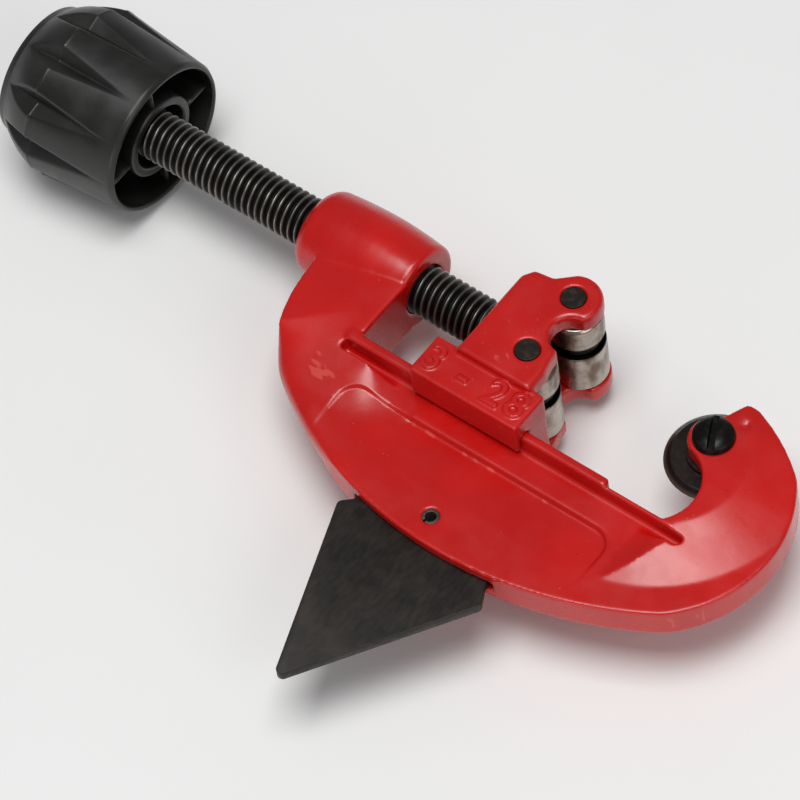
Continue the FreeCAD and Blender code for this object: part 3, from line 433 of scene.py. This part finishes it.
# %% [markdown]
# ## The cutting wheel and its screw
# The wheel is a thin disc with a hub, turned from tool steel, and its rim is two
# ground cones that meet in an edge. Its screw is a domed head with one straight
# slot. A slot could be cut with a boolean, which leaves ragged shading on a
# dome. Here the head is a height over a disc: a dome less a groove that runs
# straight across it, so the surface stays one clean skin.

# %% Cutting wheel
low, high = node_box("cutting_wheel")
edge_radius, hub_half = (high - low)[0] / 2, (high - low)[2] / 2
profile = rounded([
    (-hub_half, 2.05), (-hub_half, 4.2), (-1.0, 4.2), (-1.0, edge_radius - 1.1), (0, edge_radius),
    (1.0, edge_radius - 1.1), (1.0, 4.2), (hub_half, 4.2), (hub_half, 2.05)], 0.08)
wheel = turned("cutting_wheel_turned", profile, (low + high) / 2, "z", 128, wheel_steel)
settle(wheel, "wheel", "black_steel", "cutting_wheel")


# %% Screw of the wheel
def slotted_head(base, top, shank_end, radius, shank, slot_turn):
    """Height over a disc. With q the distance from the axis over the radius, the dome stands
    top - 0.5 (top - base) q^3.2 high. The slot lowers it to 0.9 mm under the top where the distance across
    the slot is under 0.44 mm, through a wall 0.12 mm wide. The rim drops to the base, and the shank closes below."""
    turn = np.linspace(0, 2 * math.pi, 256, endpoint=False)[None]
    to_rim = 0.93 + 0.07 * np.sin(np.linspace(0.1, 1, 9) * math.pi / 2)
    q = np.concatenate([np.linspace(0.0, 0.93, 52), to_rim])[:, None]
    across = np.abs(q * radius * np.sin(turn - math.radians(slot_turn)))
    wall = np.clip((across - 0.44) / 0.12, 0, 1)
    dome = top - 0.5 * (top - base) * q ** 3.2 - 0.25 * (top - base) * np.clip((q - 0.93) / 0.07, 0, 1) ** 2
    height = dome - (0.9 - (top - dome)) * (1 - wall * wall * (3 - 2 * wall)) * (q < 0.9999)
    flat = np.broadcast_to(q * radius, height.shape)
    lip = radius * np.ones_like(turn)
    rings = [(base + 0.25, radius), (base + 0.04, radius), (base, radius - 0.04), (base, shank + 0.1),
             (base, shank), (shank_end + 0.2, shank), (shank_end, shank - 0.2), (shank_end, 0.0)]
    extra_height = np.array([r[0] for r in rings])[:, None] * np.ones_like(turn)
    extra_flat = np.array([r[1] for r in rings])[:, None] / radius * lip
    out, up = np.concatenate([flat, extra_flat]), np.concatenate([height, extra_height])
    return np.stack([out * np.cos(turn), out * np.sin(turn), up], -1)


low, high = node_box("wheel_screw")
HEAD_HEIGHT, SHANK_RADIUS, SLOT_TURN = 1.8, 2.0, 117
head = slotted_head(high[2] - HEAD_HEIGHT, high[2], low[2], (high - low)[0] / 2, SHANK_RADIUS, SLOT_TURN)
head = head + np.array([wheel_centre[0], wheel_centre[1], 0])
wheel_screw = skin("wheel_screw_domed", head, head_black, closed=False)
settle(wheel_screw, "frame", "black_steel", "wheel_screw")

# %% [markdown]
# ## The feed screw
# A rolled M8 thread climbs 1.25 mm a turn. It could be a curve with a screw
# modifier, yet then its ends and its wear would need patching. As a function of
# place along and turn round, one formula gives the whole rod: how far a point is
# from the nearest valley of the helix sets its radius. Plain necks need no
# thread, so a fade takes the valleys out there.

# %% Feed screw
PITCH, CREST, ROOT = 1.25, 3.95, 3.2
low, high = node_box("feed_screw")
thread_start = node_box("knob")[1][0] - 9.4
thread_end = node_box("carriage")[0][0] + 2.0


def threaded_rod(x_low, x_high, columns=60, per_turn=14):
    """Radius at x and turn t. The distance to the nearest valley is d = |((x / pitch - t / 2 pi) mod 1) - 0.5| pitch.
    The radius is root + 1.58 (d - 0.08), held between root and crest with the corners eased over 0.05 mm."""
    x = np.arange(x_low, x_high, PITCH / per_turn)[:, None]
    turn = np.linspace(0, 2 * math.pi, columns, endpoint=False)[None]
    valley = np.abs(np.mod(x / PITCH - turn / (2 * math.pi), 1) - 0.5) * PITCH
    slope = ROOT + 1.58 * (valley - 0.08)
    ease = 0.05
    over_root = 0.5 * (slope + ROOT + np.sqrt((slope - ROOT) ** 2 + ease ** 2))
    return x, turn, 0.5 * (over_root + CREST - np.sqrt((over_root - CREST) ** 2 + ease ** 2))


x, turn, radius = threaded_rod(thread_start, thread_end)
fade = np.clip((thread_end - x - 0.2) / 1.2, 0, 1)
radius = np.minimum(radius, 3.1 + (CREST - 3.1) * fade)
necks = [[(low[0], 0.0), (low[0], 2.7), (low[0] + 0.2, 2.9),
          (thread_start - 0.02, 2.9), (thread_start - 0.01, 3.15)],
         [(high[0] - 0.1, 3.1), (high[0], 3.0), (high[0], 0.0)]]
stations = [np.array(n)[:, :1, None].reshape(-1, 1) for n in necks]
radii = [np.array(n)[:, 1:] * np.ones_like(turn) for n in necks]
x_all = np.concatenate([stations[0], x, stations[1]]) * np.ones_like(turn)
r_all = np.concatenate([radii[0], radius, radii[1]])
grid = np.stack([x_all, r_all * np.cos(turn), r_all * np.sin(turn)], -1)
rod = skin("feed_screw_thread", grid, thread_black, closed=False)
settle(rod, "screw", "black_steel", "feed_screw")
print("turns of thread:", round((thread_end - thread_start) / PITCH, 1))

# %% [markdown]
# ## The knob
# The knob is a cup moulded in one piece: a skin that widens to a parting ridge
# and closes in a dome, eleven kite-shaped flutes for the fingers, a hub ring
# and four thin ribs. Cutting eleven wedges with booleans leaves thin slivers.
# Instead the skin's radius is the lower of two surfaces, the plain cup and the
# wedge of the nearest flute, eased where they meet, and the hollow side is the
# same closed profile carried on round the rim.

# %% Knob
low, high = node_box("knob")
rim, back, ridge = high[0], low[0], high[0] - 15.7
FLUTES, COLUMNS = 11, 396


def cup_radius(x):
    """Plain cup: straight from 12.5 at the rim to 14 at the ridge, then a bow down to 10.7 at the closed end."""
    front = 12.5 + 1.5 * (rim - x) / 15.7
    share = np.clip((ridge - x) / (ridge - back - 0.9), 0, 1)
    bow = 14.0 - 3.3 * (0.72 * share + 0.28 * share ** 2) + 0.25 * np.sin(math.pi * share)
    return np.where(x >= ridge, front, bow)


def flute_radius(x, turn):
    """Wedge of the nearest flute: its bottom line b(x) runs 12.84, 12.3, 11.3 from rim to ridge to end, and its
    sides climb 0.76 for each unit sideways, so the radius at an angle p from the bottom line is
    b / (cos p - 0.76 |sin p|)."""
    bottom = np.where(x >= ridge, 12.3 + 0.45 * (x - ridge) / 13.1, 12.3 - 1.0 * (ridge - x) / 6.6)
    p = np.abs(np.mod(turn * FLUTES / (2 * math.pi) + 0.5, 1) - 0.5) * 2 * math.pi / FLUTES
    return bottom / (np.cos(p) - 0.76 * np.sin(p))


def knob_grid():
    """The outer skin is the eased lower of cup and flute, with a 0.07 mm parting line at the ridge.
    The rest of the closed profile turns in at the rim, down the cavity, up and over the hub and out at the
    cap's recess."""
    turn = np.linspace(0, 2 * math.pi, COLUMNS, endpoint=False)[None]
    x = np.concatenate([np.linspace(back + 0.95, ridge - 0.3, 34), np.linspace(ridge - 0.22, ridge + 0.22, 5),
                        np.linspace(ridge + 0.3, rim - 0.7, 62)])[:, None]
    cup, flute = cup_radius(x), flute_radius(x, turn)
    ease = 0.16
    outer = 0.5 * (cup + flute - np.sqrt((cup - flute) ** 2 + ease ** 2)) + 0.07 * np.exp(-((x - ridge) / 0.16) ** 2)
    inner = rounded([
        (rim, 12.5), (rim, 11.6), (floor, 10.7), (floor, 6.8), (rim - 0.6, 6.8), (rim - 0.6, 5.3),
        (rim - 9.4, 5.3), (rim - 9.4, 2.95), (recess, 2.95), (recess, 6.05), (back, 6.05), (back, 10.7)], 0.45)[5:-3]
    inner_x = inner[:, :1] * np.ones_like(turn)
    inner_r = inner[:, 1:] * np.ones_like(turn)
    xs = np.concatenate([x * np.ones_like(turn), inner_x])
    rs = np.concatenate([outer, inner_r])
    angle = turn + math.radians(8.5)
    return np.stack([xs, rs * np.cos(angle), rs * np.sin(angle)], -1)


recess = node_box("knob_washer")[1][0]
floor = recess + 1.6
knob = skin("knob_moulded", knob_grid(), knob_plastic)


# %% Ribs of the knob
def rib(angle):
    """Rounded bar: section of half thickness 0.42 and half height h, x = middle + h cos(u)^0.35,
    y = 0.42 sin(u)^0.35 with signs kept, carried outwards from 6.6 to 11.2 mm and pinched to a point at both
    ends inside the walls."""
    u = np.linspace(0, 2 * math.pi, 48, endpoint=False)[None]
    middle, half = (rim - 1.0 + floor - 0.3) / 2, (rim - 1.0 - floor + 0.3) / 2
    soft = lambda c: np.sign(c) * np.abs(c) ** 0.35
    out = np.array([6.6, 6.6, 8.0, 10.0, 11.2, 11.2])[:, None]
    pinch = np.array([0, 1, 1, 1, 1, 0])[:, None]
    along = middle + half * soft(np.cos(u)) * pinch
    side = 0.42 * soft(np.sin(u)) * pinch
    c, s = math.cos(angle), math.sin(angle)
    out = out * np.ones_like(u)
    return np.stack([along, out * c - side * s, out * s + side * c], -1)


ribs = [skin("knob_rib", rib(k * math.pi / 2), knob_plastic, closed=False) for k in range(4)]
knit = bmesh.new()
for part in (knob, *ribs):
    knit.from_mesh(part.data)
knit.to_mesh(knob.data)
knit.free()
knob.data.polygons.foreach_set("use_smooth", np.ones(len(knob.data.polygons), bool))
for part in ribs:
    bpy.data.objects.remove(part)
settle(knob, "screw", "black_plastic", "knob")

# %% [markdown]
# ## Two castings from the measured model
# The frame and the carriage have many faces that meet at crisp corners, while a
# painted casting has no crisp corner anywhere: the mould has draft and fillets,
# and the paint fills what is left. Bevels on such a mesh fail where many faces
# meet. So a copy of the measured mesh is knitted together, turned into a skin of
# small even faces, relaxed until its edges are soft, and thinned to a fair size.

# %% Helpers for a casting
def knitted_copy(node, name):
    """Mesh of a node with its loose triangles joined."""
    knit = bmesh.new()
    knit.from_mesh(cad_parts[node].data)
    bmesh.ops.remove_doubles(knit, verts=knit.verts, dist=2e-6)
    mesh = bpy.data.meshes.new(name)
    knit.to_mesh(mesh)
    knit.free()
    return mesh


def baked(piece):
    """The piece's mesh after its modifiers, which are then removed."""
    bpy.context.view_layer.update()
    done = bpy.data.meshes.new_from_object(piece.evaluated_get(bpy.context.evaluated_depsgraph_get()))
    piece.modifiers.clear()
    piece.data = done
    return piece


def melt_together(piece, low_mm, high_mm, fade_mm, rounds):
    """Relaxes the skin more inside a box of x and y, through its whole depth. The weight of a point is its depth
    inside the box over fade, held between 0 and 1, so that the extra softness has no border."""
    co = np.zeros(len(piece.data.vertices) * 3, np.float32)
    piece.data.vertices.foreach_get("co", co)
    flat = co.reshape(-1, 3)[:, :2] / MM
    inside = np.minimum(flat - np.array(low_mm), np.array(high_mm) - flat).min(1)
    weight = np.round(np.clip(inside / fade_mm, 0, 1), 1)
    group = piece.vertex_groups.new(name="melt")
    for level in np.unique(weight[weight > 0]):
        group.add(np.flatnonzero(weight == level).tolist(), float(level), "REPLACE")
    melt = piece.modifiers.new("melt", "SMOOTH")
    melt.factor, melt.iterations, melt.vertex_group = 0.5, rounds, "melt"
    baked(piece)
    piece.vertex_groups.clear()


def cast(name, mesh, cell_mm, relax, finish, faces=190000, reshape=None):
    """Skin of square cells, relaxed, reshaped if a function for that is given, then thinned to fewer triangles than
    faces. Each round of relaxing moves a point half way to the mean of its neighbours, which rounds edges over
    about the cell size times the root of the rounds."""
    piece = bpy.data.objects.new(name, mesh)
    bpy.context.collection.objects.link(piece)
    cells = piece.modifiers.new("cells", "REMESH")
    cells.mode, cells.voxel_size, cells.adaptivity = "VOXEL", cell_mm * MM, 0.0
    soften = piece.modifiers.new("soften", "SMOOTH")
    soften.factor, soften.iterations = 0.5, relax
    baked(piece)
    if reshape:
        reshape(piece)
    count = len(piece.data.polygons) * 2
    if count > faces:
        thin = piece.modifiers.new("thin", "DECIMATE")
        thin.ratio = faces / count
        baked(piece)
    piece.data.polygons.foreach_set("use_smooth", np.ones(len(piece.data.polygons), bool))
    piece.data.materials.clear()
    piece.data.materials.append(finish)
    left = sum(len(p.vertices) - 2 for p in piece.data.polygons)
    print(name, count, "triangles before thinning,", left, "after")
    return piece


# %% [markdown]
# ## The frame
# The web has a shallow sunk panel with round ends: a crisp step along its top
# that fades to nothing at its bottom. To its left, broad slopes run into each
# other with no crease. A finer skin would show both, at ten times the faces.
# Instead the slopes are relaxed longer, and the step is pressed in by a formula.

# %% The sunk panel
def press_panel(piece, low, high, corner, depth):
    """Sinks both faces inside a rounded rectangle by depth * S(s / 0.3) * S(h), with S(t) = 3t^2 - 2t^3 held
    between 0 and 1, s the distance in from the edge and h the height in the panel. Points within 1.5 mm of the
    middle plane are the walls of slots inside the web, and stay."""
    co = np.zeros(len(piece.data.vertices) * 3, np.float32)
    piece.data.vertices.foreach_get("co", co)
    co = co.reshape(-1, 3)
    flat = co[:, :2] / MM
    low, high = np.array(low), np.array(high)
    past = np.abs(flat - (low + high) / 2) - (high - low) / 2 + corner
    inward = corner - np.hypot(*np.maximum(past, 0).T) - np.minimum(past.max(1), 0)
    edge = np.clip(inward / 0.3, 0, 1)
    height = np.clip((flat[:, 1] - low[1]) / (high[1] - low[1]), 0, 1)
    sink = depth * edge ** 2 * (3 - 2 * edge) * height ** 2 * (3 - 2 * height)
    co[:, 2] -= np.where(np.abs(co[:, 2]) > 1.5 * MM, np.sign(co[:, 2]) * sink * MM, 0)
    piece.data.vertices.foreach_set("co", co.ravel())
    piece.data.update()


# %% The frame's skin
TRAVEL_LEFT = 11.1  # from the carriage back to the wall that stops it, in mm
PANEL_LOW, PANEL_HIGH = (-43.2, -32.3), (5.1, -20.3)
PANEL_CORNER, PANEL_DEPTH = 3.6, 0.35
wall = node_box("carriage")[0][0] - TRAVEL_LEFT


def shape_web(piece):
    """The slopes left of the panel melt into each other, then the panel's step is pressed in."""
    melt_together(piece, (wall - 12, -33.0), (wall + 13.5, -17.9), 2.0, 400)
    press_panel(piece, PANEL_LOW, PANEL_HIGH, PANEL_CORNER, PANEL_DEPTH)


frame_cast = cast("frame_cast", knitted_copy("frame", "frame_cast"), 0.25, 7, enamel, reshape=shape_web)
print("wall at x", round(wall, 2), "mm")


# %% A mark left by the mould
def dent(piece, x, y, depth, across):
    """Sinks the front face by depth times exp(-(distance / across)^2) round (x, y), as a mould's ejector pin
    leaves it."""
    co = np.zeros(len(piece.data.vertices) * 3, np.float32)
    piece.data.vertices.foreach_get("co", co)
    co = co.reshape(-1, 3)
    away = np.hypot(co[:, 0] / MM - x, co[:, 1] / MM - y)
    co[:, 2] -= np.where(co[:, 2] > 0, depth * MM * np.exp(-(away / across) ** 2), 0)
    piece.data.vertices.foreach_set("co", co.ravel())
    piece.data.update()


dent(frame_cast, wheel_centre[0] + 2.5, 4.3, 0.5, 0.55)
settle(frame_cast, "frame", "red_paint", "frame")

# %% [markdown]
# ## The numbers on the carriage
# The saddle's front face carries the range of tubes that the jaw takes, cast in
# relief. Plain numbers, 3 to 28 mm, stand there. Letters set on top as their own
# piece would look glued on. They are joined with the casting before its skin is
# made, so paint seems to flow over both.

# %% The carriage with its numbers
def relief(text, height_mm, centre_mm, stand_mm, spacing):
    """Text as a closed mesh whose back lies in the casting and whose front stands above its face."""
    curve = bpy.data.curves.new("relief", "FONT")
    curve.body, curve.size, curve.extrude = text, height_mm * MM / 0.72, stand_mm * MM
    curve.align_x, curve.align_y, curve.space_character = "CENTER", "CENTER", spacing
    curve.offset = 0.00010
    holder = bpy.data.objects.new("relief", curve)
    bpy.context.collection.objects.link(holder)
    bpy.context.view_layer.update()
    mesh = bpy.data.meshes.new_from_object(holder.evaluated_get(bpy.context.evaluated_depsgraph_get()))
    bpy.data.objects.remove(holder)
    co = np.zeros(len(mesh.vertices) * 3, np.float32)
    mesh.vertices.foreach_get("co", co)
    co = co.reshape(-1, 3)
    middle = (co.max(0) + co.min(0)) / 2
    co = (co - middle) + np.array(centre_mm) * MM
    mesh.vertices.foreach_set("co", co.ravel())
    return mesh


low, high = node_box("carriage")
SADDLE_FRONT, TEXT_RISE, TEXT_HEIGHT, NO_THINNING = 9.2, 3.55, 4.5, 10 ** 7
text_place = ((low[0] + high[0]) / 2, low[1] + TEXT_RISE, SADDLE_FRONT - 0.1)
numbers = relief("3 - 28", TEXT_HEIGHT, text_place, 0.5, 1.2)
soft_carriage = cast("carriage_soft", knitted_copy("carriage", "carriage_plain"), 0.2, 16, enamel, NO_THINNING)
knit = bmesh.new()
knit.from_mesh(soft_carriage.data)
knit.from_mesh(numbers)
carriage_mesh = bpy.data.meshes.new("carriage_cast")
knit.to_mesh(carriage_mesh)
knit.free()
bpy.data.objects.remove(soft_carriage)
carriage_cast = cast("carriage_cast", carriage_mesh, 0.15, 3, enamel)
settle(carriage_cast, "carriage", "red_paint", "carriage")

# %% [markdown]
# ## Blade, spring pin and hidden fixings
# The blade is a stamped plate, and its flat faces are right as measured. Real
# stamping leaves a small radius on every edge, which shows as a thin bright
# line. A bevel on a knitted copy gives that. The pins, washer, screw and cap
# that hold the knob and the feed screw keep their measured shape and only get
# their finish.

# %% Blade and spring pin
def softened(node, name, width_mm, finish, body, slot_name):
    """Knitted copy with its flat faces dissolved and its edges bevelled."""
    mesh = knitted_copy(node, name)
    knit = bmesh.new()
    knit.from_mesh(mesh)
    bmesh.ops.dissolve_limit(knit, angle_limit=0.01, verts=knit.verts, edges=knit.edges)
    knit.to_mesh(mesh)
    knit.free()
    piece = bpy.data.objects.new(name, mesh)
    bpy.context.collection.objects.link(piece)
    bevel = piece.modifiers.new("edges", "BEVEL")
    bevel.width, bevel.segments = width_mm * MM, 3
    bevel.limit_method, bevel.angle_limit = "ANGLE", math.radians(40)
    bevel.harden_normals = True
    mesh.polygons.foreach_set("use_smooth", np.ones(len(mesh.polygons), bool))
    mesh.materials.clear()
    mesh.materials.append(finish)
    return settle(baked(piece), body, slot_name, node)


softened("reamer_blade", "reamer_blade_stamped", 0.16, blade_steel, "frame", "black_steel")
softened("reamer_pin", "reamer_pin_rolled", 0.06, spring_steel, "frame", "black_steel")

# %% Measured pieces that stay
for name, finish in {
        "retaining_pin_upper": pin_black, "retaining_pin_lower": pin_black, "knob_washer": pin_black,
        "knob_screw": pin_black, "knob_cap": knob_plastic}.items():
    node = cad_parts[name]
    node.data.materials.clear()
    node.data.materials.append(finish)
print("measured pieces finished")

# %% [markdown]
# ## Floor, light and camera
# A product is usually shown on a pale sweep under large soft lamps. The key lamp
# hangs above the camera, so the sloping enamel shines and the flat web, which
# mirrors the dim room instead, shows its own red. One lamp low on the left
# lights the rim of the frame, and a weak one right of the camera opens the
# shadows. The camera is far away with a long lens, so the sides stay nearly
# parallel.

# %% Floor
def pale_floor():
    """Matt white with soft 40 mm clouds."""
    material, tree, shader, place = start_finish(
        "matt_white_board", "#f4f4f3", {"Roughness": 0.9, "Specular IOR Level": 0.1})
    spread = add(tree, "Mapping", {"Scale": Vector(EVEN) / (40.0 * MM)}, {"Vector": place})
    cloud = add(tree, "TexNoise", {"Scale": 1.0, "Detail": 2.0}, {"Vector": spread.outputs[0]})
    tint = add(tree, "Mix", {**COLOURS, 6: paint("#f3f3f2"), 7: paint("#f7f7f6")}, {0: cloud.outputs[0]})
    tree.links.new(tint.outputs[2], shader.inputs["Base Color"])
    return material


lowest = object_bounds()[0][2]
HALF_SIDE = 3.0
mesh = bpy.data.meshes.new("floor")
corners = [(x * HALF_SIDE, y * HALF_SIDE, lowest) for x, y in ((-1, -1), (1, -1), (1, 1), (-1, 1))]
mesh.from_pydata(corners, [], [(0, 1, 2, 3)])
mesh.materials.append(pale_floor())
floor_board = bpy.data.objects.new("floor", mesh)
bpy.context.collection.objects.link(floor_board)
print("floor at", round(lowest / MM, 2), "mm")

# %% Camera
RIGHT = Vector((0.7874, 0.60944, -0.09274))
UP = Vector((-0.46306, 0.68404, 0.56361))
BACK = Vector((0.40691, -0.40084, 0.82082))
AIM = Vector((-36.33, -17.63, 0)) * MM
DISTANCE = 0.9683
camera_data = bpy.data.cameras.new("camera")
camera_data.lens, camera_data.sensor_width = 300, 36
camera = bpy.data.objects.new("camera", camera_data)
bpy.context.collection.objects.link(camera)
camera.matrix_world = Matrix.Translation(AIM + BACK * DISTANCE) @ Matrix((RIGHT, UP, BACK)).transposed().to_4x4()
bpy.context.scene.camera = camera
print("camera", DISTANCE, "m from", [round(c / MM, 2) for c in AIM], "mm")


# %% Lights
def lamp(name, right, up, back, size, watts):
    """Square soft lamp, placed by the camera's right, up and back directions and turned to the tool."""
    data = bpy.data.lights.new(name, "AREA")
    data.shape, data.size, data.energy = "SQUARE", size, watts
    thing = bpy.data.objects.new(name, data)
    bpy.context.collection.objects.link(thing)
    spot = AIM + RIGHT * right + UP * up + BACK * back
    thing.location = spot
    thing.rotation_euler = (AIM - spot).to_track_quat("-Z", "Y").to_euler()
    return thing


lamp("key_lamp", -0.12, 0.5, 0.97, 0.6, 8.4)
lamp("front_lamp", 0.5, -0.2, 1.0, 0.6, 2.0)
lamp("left_lamp", -0.5, -0.78, 0.42, 0.4, 2.2)
world = bpy.data.worlds.new("pale_room")
world.use_nodes = True
air = world.node_tree.nodes["Background"]
air.inputs["Color"].default_value = paint("#f2f4f6")
air.inputs["Strength"].default_value = 0.22
bpy.context.scene.world = world
bpy.context.scene.view_settings.view_transform = "Standard"
print(len(bpy.data.lights), "lamps")
